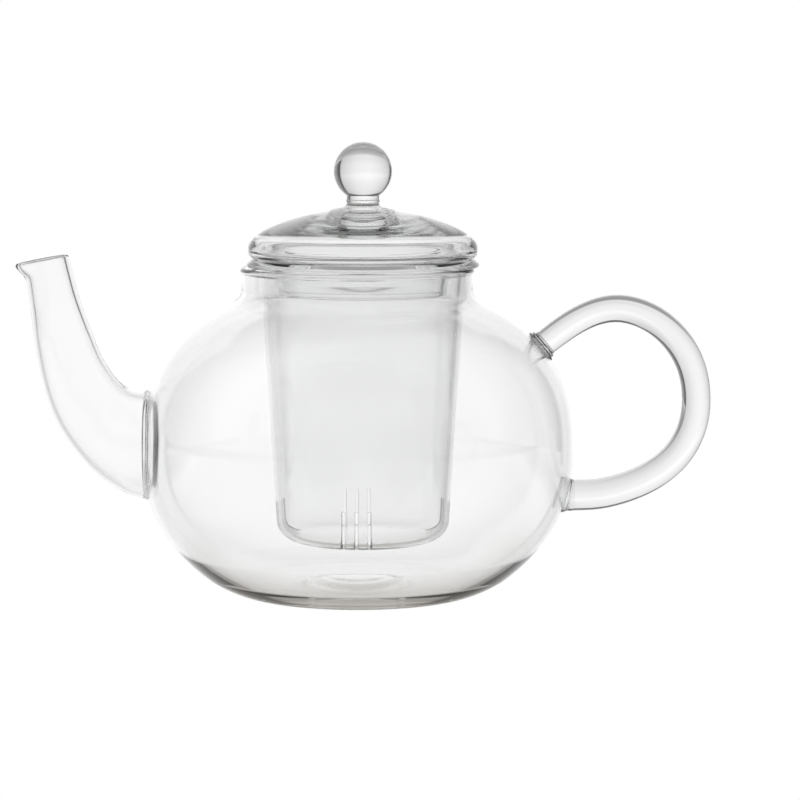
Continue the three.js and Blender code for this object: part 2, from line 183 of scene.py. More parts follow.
# x, z and rod radius from the upper weld round to the lower one
HANDLE_STATIONS = [
    (65.7, 88.6, 4.5), (72.4, 93.6, 4.6), (80.2, 98, 4.65), (89.6, 100.2, 4.8), (99.2, 98.2, 4.9),
    (108.4, 92, 4.95), (115.2, 82.2, 5), (117.9, 70.6, 5), (116.6, 58.8, 5.05), (111.3, 49, 5.1),
    (103, 42, 5.2), (92.4, 37.3, 5.3), (83, 35.2, 5.35), (75.6, 34.9, 5.4),
]
HANDLE_START = np.array(HANDLE_STATIONS[0][:2])
HANDLE_END = np.array(HANDLE_STATIONS[-1][:2])
UPPER_WELD_ANGLE = math.radians(40)
UPPER_WELD_OUT = np.array([math.cos(UPPER_WELD_ANGLE), math.sin(UPPER_WELD_ANGLE)])
LOWER_WELD_OUT = np.array([1.0, 0.0])
UPPER_WELD_RADIUS = 6.2
LOWER_WELD_RADIUS = 6.1
WELD_SPREAD = 1.5    # the power by which a weld widens towards the bowl
LONGEST_WELD = 25.0
FUSED_GAP = 0.02     # the film between glass pieces that touch
CALM_RADIUS = 20.0   # within it, the unevenness of blown glass dies away towards the axis

# How finely things are drawn: facets round a piece, steps along it, millimetres along an outline
ROUND = 192
BOWL_ROUND = 256
SPOUT_ROUND = 96
SPOUT_STEPS = 110
SPOUT_WELD_ROUND = 128
RIM_STEPS = 8
PORT_ROUND = 96
ROD_ROUND = 64
ROD_STEPS = 260
WELD_ROUND = 72
WELD_STEPS = 25
HALVINGS = 40        # in the search for the bowl's outside
GRAIN = 0.9
BALL_GRAIN = 0.5
BEAD_GRAIN = 0.25
COLLAR_BEAD_GRAIN = 0.2
FLANGE_EDGE_GRAIN = 0.15

# ------------------------------------------------------------------ outlines


def circle(count):
    """The directions of points spaced evenly round a circle, in radians."""
    return np.arange(count) * 2 * math.pi / count


def super_arc(radius, height, power, start, end):
    """Part of a superellipse about the widest line, between two direction angles."""
    steps = max(8, int(abs(math.radians(end - start)) * radius / GRAIN))
    angle = np.radians(np.linspace(start, end, steps + 1))
    across, up = np.cos(angle), np.abs(np.sin(angle))
    reach = ((across / radius) ** power + (up / height) ** power) ** (-1 / power)
    return np.column_stack([reach * across, WIDEST_Z + reach * np.sin(angle)])


def arc(centre, radius, start, end, grain=GRAIN):
    steps = max(6, int(abs(math.radians(end - start)) * radius / grain))
    angle = np.radians(np.linspace(start, end, steps + 1))
    return np.column_stack([centre[0] + radius * np.cos(angle), centre[1] + radius * np.sin(angle)])


def bezier(*points):
    """A Bezier curve of any degree through its first and last points."""
    p = np.array(points, float)
    degree = len(p) - 1
    length = np.linalg.norm(np.diff(p, axis=0), axis=1).sum()
    t = np.linspace(0, 1, max(6, int(length / GRAIN)) + 1)[:, None]
    return sum(math.comb(degree, k) * (1 - t) ** (degree - k) * t**k * p[k] for k in range(degree + 1))


def line(start, end):
    steps = max(1, int(math.dist(start, end) / (2 * GRAIN)))
    return np.linspace(start, end, steps + 1)


def joined(*parts):
    """The parts as one outline, with points that fall on one another taken once."""
    points = np.vstack([np.array(part, float) for part in parts])
    keep = np.ones(len(points), bool)
    keep[1:] = np.linalg.norm(np.diff(points, axis=0), axis=1) > 1e-3
    return points[keep]


def inset(outline, wall, low_wall, low_reach):
    """The outline moved to its left by a wall's thickness, which grows to low_wall on the ground."""
    run = np.gradient(outline, axis=0)
    run /= np.hypot(run[:, 0], run[:, 1])[:, None]
    share = np.clip(1 - outline[:, 1] / low_reach, 0, 1)[:, None]
    return outline + np.column_stack([-run[:, 1], run[:, 0]]) * (wall + (low_wall - wall) * share)


def natural_spline(points, count):
    """count points along the natural cubic spline through the given ones, whose parameter is the
    distance between them."""
    p = np.array(points, float)
    step = np.linalg.norm(np.diff(p[:, :2], axis=0), axis=1)
    knots = np.concatenate([[0], np.cumsum(step)])
    system = np.eye(len(p))
    right = np.zeros_like(p)
    rise = np.diff(p, axis=0) / step[:, None]
    for i in range(1, len(p) - 1):
        system[i, i - 1:i + 2] = step[i - 1], 2 * (step[i - 1] + step[i]), step[i]
        right[i] = 6 * (rise[i] - rise[i - 1])
    bends = np.linalg.solve(system, right)
    place = np.linspace(0, knots[-1], count)
    i = np.clip(np.searchsorted(knots, place, side="right") - 1, 0, len(step) - 1)
    before, after = (knots[i + 1] - place)[:, None], (place - knots[i])[:, None]
    span = step[i][:, None]
    return (
        (bends[i] * before**3 + bends[i + 1] * after**3) / (6 * span)
        + (p[i] / span - bends[i] * span / 6) * before
        + (p[i + 1] / span - bends[i + 1] * span / 6) * after
    )


def catmull_rom(points, count):
    """count points along the Catmull-Rom spline through the given ones."""
    p = np.array(points, float)
    place = np.linspace(0, len(p) - 1, count)
    i = np.minimum(place.astype(int), len(p) - 2)
    t = (place - i)[:, None]
    before, start, end = p[np.maximum(i - 1, 0)], p[i], p[i + 1]
    after = p[np.minimum(i + 2, len(p) - 1)]
    leave, arrive = (end - before) / 2, (after - start) / 2
    return (
        (2 * start - 2 * end + leave + arrive) * t**3
        + (3 * end - 3 * start - 2 * leave - arrive) * t**2
        + leave * t
        + start
    )


def smoothstep(x, low, high):
    t = np.clip((x - low) / (high - low), 0, 1)
    return t * t * (3 - 2 * t)


# ------------------------------------------------------------------ meshes


def new_object(name, verts, faces):
    """A mesh object from points in millimetres, with its faces turned outwards."""
    mesh = bpy.data.meshes.new(name)
    mesh.from_pydata([tuple(v) for v in verts * MM], [], faces)
    mesh.update()
    obj = bpy.data.objects.new(name, mesh)
    bpy.context.scene.collection.objects.link(obj)
    bm = bmesh.new()
    bm.from_mesh(mesh)
    bmesh.ops.recalc_face_normals(bm, faces=bm.faces)
    bm.to_mesh(mesh)
    bm.free()
    return obj


def band(a, b, around):
    """The faces between two rings of points, whose first points are numbers a and b."""
    return [(a + j, a + (j + 1) % around, b + (j + 1) % around, b + j) for j in range(around)]


def looped(name, rings):
    """A closed surface through rings of points; the last ring joins the first one."""
    rings = np.array(rings)
    count, around = rings.shape[:2]
    faces = []
    for i in range(count):
        faces += band(i * around, (i + 1) % count * around, around)
    return new_object(name, rings.reshape(-1, 3), faces)


def capped(name, rings, tips=None):
    """A solid through rings of points, closed at each end by a fan round a tip. Without tips given,
    they are the middles of the end rings."""
    rings = np.array(rings)
    count, around = rings.shape[:2]
    if tips is None:
        tips = [rings[0].mean(0), rings[-1].mean(0)]
    last = (count - 1) * around
    first_tip, last_tip = count * around, count * around + 1
    faces = []
    for i in range(count - 1):
        faces += band(i * around, (i + 1) * around, around)
    for j in range(around):
        k = (j + 1) % around
        faces.append((first_tip, k, j))
        faces.append((last_tip, last + j, last + k))
    return new_object(name, np.vstack([rings.reshape(-1, 3), *tips]), faces)


def turned(name, outline, axis_x, blown, seed, facets=ROUND):
    """A solid of revolution from an outline that starts and ends on the upright axis.
    blown is how far, in mm, hand work has drawn the wall in unevenly."""
    turn = circle(facets)
    r = np.repeat(outline[1:-1, :1], facets, axis=1)
    z = np.repeat(outline[1:-1, 1:], facets, axis=1)
    wave = (
        np.sin(2 * turn + 0.045 * z + seed)
        + np.sin(3 * turn - 0.06 * z + 2.1 * seed)
        + 0.6 * np.sin(5 * turn + 0.11 * z + 0.7 * seed)
        + 0.4 * np.sin(1.3 + 0.16 * z + seed)
    ) / 3
    r = r - blown * (1 + wave) / 2 * np.clip(r / CALM_RADIUS, 0, 1)
    rings = np.stack([axis_x + r * np.cos(turn), r * np.sin(turn), z], axis=2)
    tips = [(axis_x, 0, outline[0, 1]), (axis_x, 0, outline[-1, 1])]
    return capped(name, rings, tips)


def cut(obj, cutters):
    """Takes the cutters out of obj, and deletes them."""
    for cutter in cutters:
        step = obj.modifiers.new("cut", "BOOLEAN")
        step.operation = "DIFFERENCE"
        step.solver = "MANIFOLD"
        step.object = cutter
    shape = obj.evaluated_get(bpy.context.evaluated_depsgraph_get())
    cut_mesh = bpy.data.meshes.new_from_object(shape)
    obj.modifiers.clear()
    obj.data = cut_mesh
    for cutter in cutters:
        bpy.data.objects.remove(cutter)
    return obj


def finish_piece(obj, body, material, nodes, sharp=35):
    """Smooths a piece, gives it its glass, and puts it on its body in the place of CAD nodes."""
    obj.data.shade_smooth()
    obj.data.set_sharp_from_angle(angle=math.radians(sharp))
    obj.data.materials.clear()
    obj.data.materials.append(material)
    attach(obj, body)
    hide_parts(*nodes)


# ------------------------------------------------------------------ materials


def node(tree, kind, **settings):
    """A new node, whose settings are inputs or properties."""
    made = tree.nodes.new(kind)
    for name, value in settings.items():
        if name in made.inputs:
            made.inputs[name].default_value = value
        else:
            setattr(made, name, value)
    return made


def math_node(tree, operation, *values):
    made = node(tree, "ShaderNodeMath", operation=operation)
    for socket, value in zip(made.inputs, values):
        if isinstance(value, (int, float)):
            socket.default_value = value
        else:
            tree.links.new(value, socket)
    return made.outputs["Value"]


def between(tree, value, source, target):
    """value, mapped from one range to another and kept inside it."""
    made = node(tree, "ShaderNodeMapRange")
    for name, number in zip(("From Min", "From Max", "To Min", "To Max"), (*source, *target)):
        made.inputs[name].default_value = number
    tree.links.new(value, made.inputs["Value"])
    return made.outputs["Result"]


def ramp(tree, value, stops, source):
    """A level for each value of a range, straight between stops of (value, level). A level is a
    grey or a colour."""
    low, high = source
    made = node(tree, "ShaderNodeValToRGB")
    curve = made.color_ramp
    curve.interpolation = "LINEAR"
    curve.elements.remove(curve.elements[1])
    for index, (at, level) in enumerate(stops):
        position = (at - low) / (high - low)
        element = curve.elements.new(position) if index else curve.elements[0]
        element.position = position
        shade = level if isinstance(level, tuple) else (level, level, level)
        element.color = (*shade, 1)
    tree.links.new(between(tree, value, source, (0, 1)), made.inputs["Fac"])
    return made.outputs["Color"]


def mixed(tree, share, a, b, blend="MIX"):
    made = node(tree, "ShaderNodeMix", data_type="RGBA", blend_type=blend)
    for name, value in (("Factor", share), ("A", a), ("B", b)):
        if isinstance(value, (int, float, tuple)):
            made.inputs[name].default_value = value
        else:
            tree.links.new(value, made.inputs[name])
    return made.outputs["Result"]


WHITE = (1.0, 1.0, 1.0, 1.0)
GLASS_IOR = 1.473
GLASS_BODY = (0.06, 0.10, 0.07, 1.0)   # what a deep body of the glass lets through
GLASS_DEPTH = 7.5                      # how strongly it takes up the rest, for each metre
GLASS_TINT = (0.988, 0.99, 0.99, 1.0)  # in the troughs of the ripples, with white on their crests
GLASS_ROUGHNESS = (0.0, 0.001)         # in the troughs and on the crests: it stays clear


def glass(name, draw, ripple, depth=1.0):
    """Clear glass. draw stretches the ripples left by blowing along X, Y and Z, ripple is their
    height in millimetres, and depth is how strongly its body takes up light, which darkens edges
    and solid parts."""
    material = bpy.data.materials.new(name)
    material.use_nodes = True
    tree = material.node_tree
    link = tree.links.new
    surface = tree.nodes["Principled BSDF"]
    surface.inputs["Transmission Weight"].default_value = 1.0
    surface.inputs["IOR"].default_value = GLASS_IOR
    place = node(tree, "ShaderNodeTexCoord")
    stretch = node(tree, "ShaderNodeMapping", Scale=draw)
    link(place.outputs["Object"], stretch.inputs["Vector"])
    waves = node(tree, "ShaderNodeTexNoise", Scale=1.0, Detail=1.5, Roughness=0.45)
    link(stretch.outputs["Vector"], waves.inputs["Vector"])
    height = waves.outputs["Fac"]
    bump = node(tree, "ShaderNodeBump", Strength=1.0, Distance=ripple * MM)
    link(height, bump.inputs["Height"])
    link(bump.outputs["Normal"], surface.inputs["Normal"])
    link(mixed(tree, height, GLASS_TINT, WHITE), surface.inputs["Base Color"])
    link(between(tree, height, (0, 1), GLASS_ROUGHNESS), surface.inputs["Roughness"])
    body = node(tree, "ShaderNodeVolumeAbsorption", Density=GLASS_DEPTH * depth, Color=GLASS_BODY)
    link(body.outputs["Volume"], tree.nodes["Material Output"].inputs["Volume"])
    return material


# ------------------------------------------------------------------ pot


def bowl_reach(z):
    """The radius of the bowl's round outside at a height."""
    upper = z > WIDEST_Z
    height = np.where(upper, UPPER_HEIGHT, LOWER_HEIGHT)
    power = np.where(upper, UPPER_POWER, LOWER_POWER)
    share = np.clip(np.abs(z - WIDEST_Z) / height, 0, 1)
    return BOWL_RADIUS * (1 - share**power) ** (1 / power)


def bowl_side():
    """The bowl's outside, from the edge of its foot up to the bead round the neck."""
    lower = super_arc(BOWL_RADIUS, LOWER_HEIGHT, LOWER_POWER, HEEL_ANGLE + HEEL_TURN, 0)
    heel = super_arc(BOWL_RADIUS, LOWER_HEIGHT, LOWER_POWER, HEEL_ANGLE, 0)[0]
    under = bezier((FOOT_OUTER, 0), (BASE_TURN, 0), heel)
    under = under[under[:, 0] < heel[0] - HEEL_ROUNDING]
    upper = super_arc(BOWL_RADIUS, UPPER_HEIGHT, UPPER_POWER, 0, SHOULDER_ANGLE)
    shoulder = upper[-1]
    neck = bezier(shoulder, (NECK_RADIUS, shoulder[1] + NECK_FLARE), (NECK_RADIUS, NECK_START_Z))
    return joined(under, bezier(under[-1], heel, lower[0]), lower, upper, neck)


def bowl():
    side = bowl_side()
    inner_side = inset(side, BOWL_WALL, BASE_WALL, BASE_REACH)
    floor_z = PUNT_RISE + BASE_WALL
    bead = (BEAD_OUTER - BEAD_RADIUS, bowl_high.z - BEAD_RADIUS)
    outline = joined(
        line((0, PUNT_RISE), (PUNT_FLAT, PUNT_RISE)),
        bezier((PUNT_FLAT, PUNT_RISE), (PUNT_RADIUS, PUNT_RISE), (PUNT_TURN, 0), (FOOT_INNER, 0)),
        side,
        arc(bead, BEAD_RADIUS, BEAD_START, BEAD_END, BEAD_GRAIN),
        inner_side[::-1],
        bezier(inner_side[0], (FLOOR_TURN, BASE_WALL), (PUNT_RADIUS, floor_z), (FLOOR_FLAT, floor_z)),
        line((FLOOR_FLAT, floor_z), (0, floor_z)),
    )
    pot = turned("bowl_glass", outline, POT_X, blown=0.10, seed=1.0, facets=BOWL_ROUND)
    turn = circle(PORT_ROUND)
    port = [
        np.column_stack([
            np.full(PORT_ROUND, POT_X - BOWL_RADIUS + x),
            PORT_RADIUS * np.cos(turn),
            SPOUT_AXIS_Z + PORT_RADIUS * np.sin(turn),
        ])
        for x in PORT_ENDS
    ]
    return cut(pot, [capped("port_cutter", port)])


def spout():
    """A hollow tube between the lines of its underside and its top. Its section is round at the
    joint, and further on it is round as seen along the flow."""
    under = catmull_rom(SPOUT_UNDER, SPOUT_STEPS)
    over = catmull_rom(SPOUT_OVER, SPOUT_STEPS)
    middle = (under + over) / 2
    down = under - over
    half_height = np.linalg.norm(down, axis=1) / 2
    down /= np.linalg.norm(down, axis=1)[:, None]
    flow = np.gradient(middle, axis=0)
    flow /= np.linalg.norm(flow, axis=1)[:, None]
    squareness = np.abs(down[:, 0] * flow[:, 1] - down[:, 1] * flow[:, 0])
    share = np.linspace(0, 1, SPOUT_STEPS)
    half_width = half_height * (1 + (squareness - 1) * smoothstep(share, 0, SPOUT_SETTLED))
    lip_share = smoothstep(share, LIP_START, 1)
    turn = circle(SPOUT_ROUND)

    def ring(i, inwards, raised=0.0):
        lip = LIP_LENGTH * lip_share[i] * np.clip(np.cos(turn), 0, 1) ** LIP_SHARPNESS
        out = (half_height[i] - inwards) * np.cos(turn) + lip
        return np.column_stack([
            POT_X + middle[i, 0] + down[i, 0] * out + flow[i, 0] * raised,
            (half_width[i] - inwards) * np.sin(turn),
            middle[i, 1] + down[i, 1] * out + flow[i, 1] * raised,
        ])

    half = SPOUT_WALL / 2
    rim = [
        ring(SPOUT_STEPS - 1, half - half * math.cos(angle), half * math.sin(angle))
        for angle in np.linspace(0, math.pi, RIM_STEPS + 1)[1:-1]
    ]
    outside = [ring(i, 0) for i in range(SPOUT_STEPS)]
    inside = [ring(i, SPOUT_WALL) for i in reversed(range(SPOUT_STEPS))]
    return looped("spout_glass", outside + rim + inside)


def spout_weld():
    """The fused ring between spout and bowl: flat against the spout, shaped to the bowl behind."""
    turn = circle(SPOUT_WELD_ROUND)
    spout_face = SPOUT_START_X + FUSED_GAP
    inner, outer = PORT_RADIUS + SPOUT_WELD_GAP, SPOUT_BASE_RADIUS
    inner_land, outer_land = inner + SPOUT_WELD_LAND, outer - SPOUT_WELD_LAND

    def ring(radius, share):
        y = radius * np.cos(turn)
        z = SPOUT_AXIS_Z + radius * np.sin(turn)
        bowl_face = -np.sqrt(bowl_reach(z) ** 2 - y**2) - FUSED_GAP
        x = spout_face + (bowl_face - spout_face) * share
        return np.column_stack([POT_X + x, y, z])

    # radius, and the share of the way from the spout to the bowl
    loop = [(inner, 0), (inner_land, 0), (outer_land, 0), (outer, 0)]
    loop += [(outer + SPOUT_WELD_BULGE * math.sin(math.pi * s), s) for s in (0.15, 0.3, 0.5, 0.7, 0.85)]
    loop += [(outer, 1), (outer_land, 1), (inner_land, 1), (inner, 1), (inner, 0.5)]
    return looped("spout_weld_glass", [ring(radius, share) for radius, share in loop])


def rod_ring(centre, direction, radius, turn):
    """A ring of points square to a direction in the handle's plane."""
    out = radius * np.cos(turn)
    return np.column_stack([
        POT_X + centre[0] - direction[1] * out,
        radius * np.sin(turn),
        centre[1] + direction[0] * out,
    ])


def handle():
    rod = natural_spline(HANDLE_STATIONS, ROD_STEPS)
    direction = np.gradient(rod[:, :2], axis=0)
    direction /= np.linalg.norm(direction, axis=1)[:, None]
    direction[0] = UPPER_WELD_OUT
    direction[-1] = -LOWER_WELD_OUT
    turn = circle(ROD_ROUND)
    rings = [
        rod_ring((x, z), towards, radius - FUSED_GAP, turn)
        for (x, z, radius), towards in zip(rod, direction)
    ]
    return capped("handle_rod", rings)


def weld_pad(name, face, out, pad_radius, rod_radius, ridges, ridge_height):
    """A pad of glass from the rod's end face to the bowl, with the ridges that pressing leaves."""
    turn = circle(WELD_ROUND)
    centre = face - out * FUSED_GAP
    ray = np.array([-out[0], 0.0, -out[1]])
    rings = []
    for share in np.linspace(0, 1, WELD_STEPS):
        ridge = ridge_height * math.sin(ridges * 2 * math.pi * share) * math.sin(math.pi * share)
        crinkle = 1 + 0.35 * np.sin(3 * turn + 5 * share) + 0.2 * np.sin(7 * turn + 2)
        radius = rod_radius + (pad_radius - rod_radius) * share**WELD_SPREAD + ridge * crinkle
        near = rod_ring(centre, out, radius, turn)
        rings.append(near + ray * (bowl_distance(near, ray) * share)[:, None])
    return capped(name, rings)


def bowl_distance(points, ray):
    """How far each point is from the bowl's outside along the ray, less the fused film."""
    low, high = np.zeros(len(points)), np.full(len(points), LONGEST_WELD)
    for _ in range(HALVINGS):
        middle = (low + high) / 2
        at = points + ray * middle[:, None]
        inside = np.hypot(at[:, 0] - POT_X, at[:, 1]) < bowl_reach(at[:, 2]) + FUSED_GAP
        high = np.where(inside, middle, high)
        low = np.where(inside, low, middle)
    return low


# ------------------------------------------------------------------ infuser


def infuser():
    bottom = infuser_low.z
    floor_z = bottom + INFUSER_WALL
    flange_top = infuser_high.z
    flange_bottom = flange_top - FLANGE_THICKNESS
    corner = (INFUSER_LOW_RADIUS - INFUSER_CORNER, bottom + INFUSER_CORNER)
    edge = (FLANGE_RADIUS - FLANGE_EDGE, flange_bottom + FLANGE_EDGE)
    inner_top = INFUSER_TOP_RADIUS - INFUSER_WALL
    upper_side = (INFUSER_TOP_RADIUS, flange_bottom - FLANGE_FILLET)
    inner_side = (inner_top, flange_top - FLANGE_FILLET)
    slope_in, slope_down = FLANGE_SLOPE
    outline = joined(
        line((0, bottom), (corner[0], bottom)),
        arc(corner, INFUSER_CORNER, -90, 0),
        line((INFUSER_LOW_RADIUS, corner[1]), upper_side),
        bezier(upper_side, (INFUSER_TOP_RADIUS, flange_bottom),
               (INFUSER_TOP_RADIUS + FLANGE_FILLET, flange_bottom)),
        arc(edge, FLANGE_EDGE, -90, FLANGE_EDGE_END, FLANGE_EDGE_GRAIN),
        bezier((FLANGE_RADIUS - slope_in, flange_top - slope_down),
               (FLANGE_RADIUS - FLANGE_SLOPE_TURN, flange_top),
               (FLANGE_RADIUS - FLANGE_SLOPE_END, flange_top)),
        bezier((inner_top + FLANGE_FILLET, flange_top), (inner_top, flange_top), inner_side),
        line(inner_side, (INFUSER_LOW_RADIUS - INFUSER_WALL, corner[1])),
        arc(corner, INFUSER_CORNER - INFUSER_WALL, 0, -90),
        line((corner[0], floor_z), (0, floor_z)),
    )
    cup = turned("infuser_glass", outline, LOOSE_X, blown=0.12, seed=2.3)
    cutters = []
    for heading in ((1, 0), (0, 1), (-1, 0), (0, -1)):
        offset = FRONT_SLOT_OFFSET if heading[0] == 0 else 0.0
        for place in (-1, 0, 1):
            cutters.append(slot_cutter(heading, offset + place * SLOT_PITCH, corner))
    return cut(cup, cutters)


def slot_cutter(heading, across, corner):
    """What a slot takes out of the cup's wall: a straight saw cut with melted, rounded edges, along
    the corner between floor and side and up the side. heading is the wall's direction from the axis."""
    lean = (INFUSER_TOP_RADIUS - INFUSER_LOW_RADIUS) / (infuser_high.z - FLANGE_THICKNESS - corner[1])
    # along the slot: radius and height on the outside, then the outward direction as (out, up)
    turn = np.radians(np.linspace(SLOT_START, 0, 20))
    along_corner = np.column_stack([
        corner[0] + INFUSER_CORNER * np.cos(turn),
        corner[1] + INFUSER_CORNER * np.sin(turn),
        np.cos(turn),
        np.sin(turn),
    ])
    z = np.linspace(corner[1] + 1, SLOT_TOP_Z, 16)
    along_side = np.column_stack([
        INFUSER_LOW_RADIUS + lean * (z - corner[1]),
        z,
        np.ones(len(z)),
        np.full(len(z), -lean),
    ])
    # the slot's section: depth into the wall, and half of the width there
    slope = np.radians(np.linspace(0, 90, 5))
    sunk = SLOT_ROUNDING * (1 - np.cos(slope))
    flare = SLOT_ROUNDING * (1 - np.sin(slope))
    depth = np.concatenate([
        [-SLOT_CLEAR], sunk, INFUSER_WALL - sunk[::-1], [INFUSER_WALL + SLOT_CLEAR],
    ])
    width = SLOT_WIDTH / 2 + np.concatenate([[SLOT_ROUNDING], flare, flare[::-1], [SLOT_ROUNDING]])
    depth = np.concatenate([depth, depth[::-1]])
    sideways = across + np.concatenate([width, -width[::-1]])
    rings = []
    for r, height, out, up in np.vstack([along_corner, along_side]):
        reach = math.sqrt(r * r - across * across) - depth * out
        rings.append(np.column_stack([
            LOOSE_X + heading[0] * reach + abs(heading[1]) * sideways,
            heading[1] * reach + abs(heading[0]) * sideways,
            height - depth * up,
        ]))
    return capped("slot_cutter", rings)


# ------------------------------------------------------------------ lid


def knob_outline():
    """The ball and its stem, from the top down to the dome."""
    ball_angle = -math.degrees(math.acos(STEM_RADIUS / KNOB_RADIUS))
    stem_top = KNOB_CENTRE_Z + KNOB_RADIUS * math.sin(math.radians(ball_angle))
    waist_in, waist_down = STEM_WAIST
    ridge_top = (STEM_RADIUS, STEM_RIDGE_TOP_Z)
    ridge_bottom = (STEM_RADIUS - STEM_STEP, STEM_RIDGE_BOTTOM_Z)
    return joined(
        arc((0, KNOB_CENTRE_Z), KNOB_RADIUS, 90, ball_angle, BALL_GRAIN),
        bezier((STEM_RADIUS, stem_top), (STEM_RADIUS - waist_in, stem_top - waist_down), ridge_top),
        bezier(ridge_top, (STEM_RADIUS + STEM_RIDGE, STEM_RIDGE_Z), ridge_bottom),
        bezier(ridge_bottom, (STEM_RADIUS, LID_TOP_Z + STEM_FLARE), (STEM_FOOT_RADIUS, LID_TOP_Z)),
    )


def collar_outline():
    """The collar, from the lid's seat down its outside and up its inside to the fold's top."""
    seat, fold_top = LID_SEAT_Z, LID_SEAT_Z + FOLD_THICKNESS
    outside, inside = COLLAR_TOP_RADIUS, COLLAR_TOP_RADIUS - COLLAR_WALL
    bead = (COLLAR_BOTTOM_RADIUS - COLLAR_WALL / 2, collar_low.z + COLLAR_BEAD)
    wall_end = bead[1] + COLLAR_BEAD_RISE
    outer_fillet = (outside, seat - COLLAR_FILLET)
    inner_fillet = (inside, fold_top - COLLAR_FILLET)
    return joined(
        bezier((outside + COLLAR_FILLET, seat), (outside, seat), outer_fillet),
        line(outer_fillet, (COLLAR_BOTTOM_RADIUS, wall_end)),
        arc(bead, COLLAR_BEAD, COLLAR_BEAD_START, COLLAR_BEAD_END, COLLAR_BEAD_GRAIN),
        line((COLLAR_BOTTOM_RADIUS - COLLAR_WALL, wall_end), inner_fillet),
        bezier(inner_fillet, (inside, fold_top), (inside + COLLAR_FILLET, fold_top)),
    )


def lid():
    """Dome, knob, and the collar that hangs from a fold inside the rim: one piece of glass."""
    seat, widest = LID_SEAT_Z, LID_WIDEST_Z
    rim = widest + LID_RIM_RISE
    edge_in, edge_up = LID_EDGE
    inside = LID_RADIUS - RIM_WALL
    collar = collar_outline()
    fold_top = seat + FOLD_THICKNESS
    fold_end = (inside - FOLD_ROUNDING, fold_top)
    rim_inside = (inside, widest + FOLD_RISE)
    outline = joined(
        knob_outline(),
        bezier((STEM_FOOT_RADIUS, LID_TOP_Z), LID_FLANK, (LID_RADIUS, rim), (LID_RADIUS, widest)),
        bezier((LID_RADIUS, widest), (LID_RADIUS, seat + edge_up), (LID_RADIUS - edge_in, seat),
               (LID_RADIUS - LID_WALL, seat)),
        line((LID_RADIUS - LID_WALL, seat), collar[0]),
        collar,
        line(collar[-1], fold_end),
        bezier(fold_end, (inside, fold_top), rim_inside),
        bezier(rim_inside, (inside, rim - RIM_DROP), DOME_SHOULDER, DOME_FLANK),
        line(DOME_FLANK, ROOT_SHOULDER),
        bezier(ROOT_SHOULDER, (ROOT_RADIUS, ROOT_SHOULDER_TURN_Z), (ROOT_RADIUS, ROOT_BOTTOM_Z),
               (ROOT_BOTTOM_TURN, ROOT_BOTTOM_Z), (0, ROOT_BOTTOM_Z)),
    )
    return turned("lid_glass", outline, LOOSE_X, blown=0.10, seed=4.1)


# ------------------------------------------------------------------ studio
# The camera sees a plain white floor and background. What the glass gathers is a photographer's set: a
# white sweep behind the object, as the camera sees it, with the dark room to its sides, and a table
# painted into the floor's glow, with painted soft grey shade in its middle and darker painted shadow
# under the front of the base.

ELEVATIONS = (-90, 90)
HEADINGS = (-180, 180)
# The sweep's light by elevation, and how much of it shows by heading and by elevation
SWEEP_LEVELS = [
    (-34, 0.86), (-22, 0.93), (-12, 0.99), (-5, 1.07), (0, 1.09), (4, 1.10), (9, 1.19),
    (14, 1.12), (18, 1.07), (30, 1.0), (44, 0.94),
]
SWEEP_SIDES = [
    (-58, 0), (-55, 0.52), (-45, 0.70), (-36, 0.78), (-19, 0.94), (-8, 1.01), (0, 0.99),
    (10, 0.93), (20, 0.80), (31, 0.69), (37, 0.60), (40, 0),
]
SWEEP_TOP = [(44, 1), (47, 0)]
ROOM_LEVELS = [
    (-180, 0.15), (-110, 0.5), (-85, 0.3), (-68, 0.04), (-56, 0.04), (-30, 0.10), (30, 0.10),
    (40, 0.08), (48, 0.20), (60, 0.32), (75, 0.34), (115, 0.15), (180, 0.15),
]
OUTSIDE_SWEEP = 0.01  # a share of the sweep below this is the room

# The table, in millimetres behind the frame's middle and to its right
DEPTHS = (-500, 500)
WIDTHS = (-1200, 1200)
# Painted shade on the table by depth: a white table drawn grey where it is less lit, pale beside the
# foot and greyest in the pot's shadow behind it
TABLE_PAINTED_SHADE = [
    (-400, 0.35), (-60, 0.62), (-20, 0.72), (5, 0.9), (35, 0.86), (62, 0.55), (95, 0.37),
    (140, 0.35), (185, 0.40), (225, 0.46), (270, 0.56), (320, 0.75),
]
TABLE_SIDES = [(-900, 0.0), (-700, 1.0), (800, 1.0), (1000, 0.0)]
TABLE_END = [(320, 1.0), (325, 0.0)]
BEYOND_TABLE = (0.03, 0.03, 0.03, 1.0)
# A ray sees the table only if it falls more steeply than an angle, which depends on the depth
STEEP_NEAR = ((80, 110), (40, 24))
STEEP_FAR = ((200, 260), (0, 10))
STEEP_FADE = (0, 5)
# Painted shade that the table gives under the front of the base: a warm grey contact shadow
FRONT_SHADE = [
    (-130, (1.0, 1.0, 1.0)), (-85, (0.80, 0.78, 0.75)), (-45, (0.60, 0.575, 0.54)),
    (-25, (0.54, 0.515, 0.48)), (-8, (0.76, 0.75, 0.73)), (15, (1.0, 1.0, 1.0)),
]
FRONT_SIDES = [(-120, 0.0), (-70, 1.0), (70, 1.0), (120, 0.0)]

FLOOR_HALF = 8000
FLOOR_Z = -0.3

CAMERA_EYE = (POT_X, -1100, 188)
CAMERA_AIM = (POT_X, 0, 77)
CAMERA_LENS = 143.06
CAMERA_SHIFT = (0.0534, -0.03125)


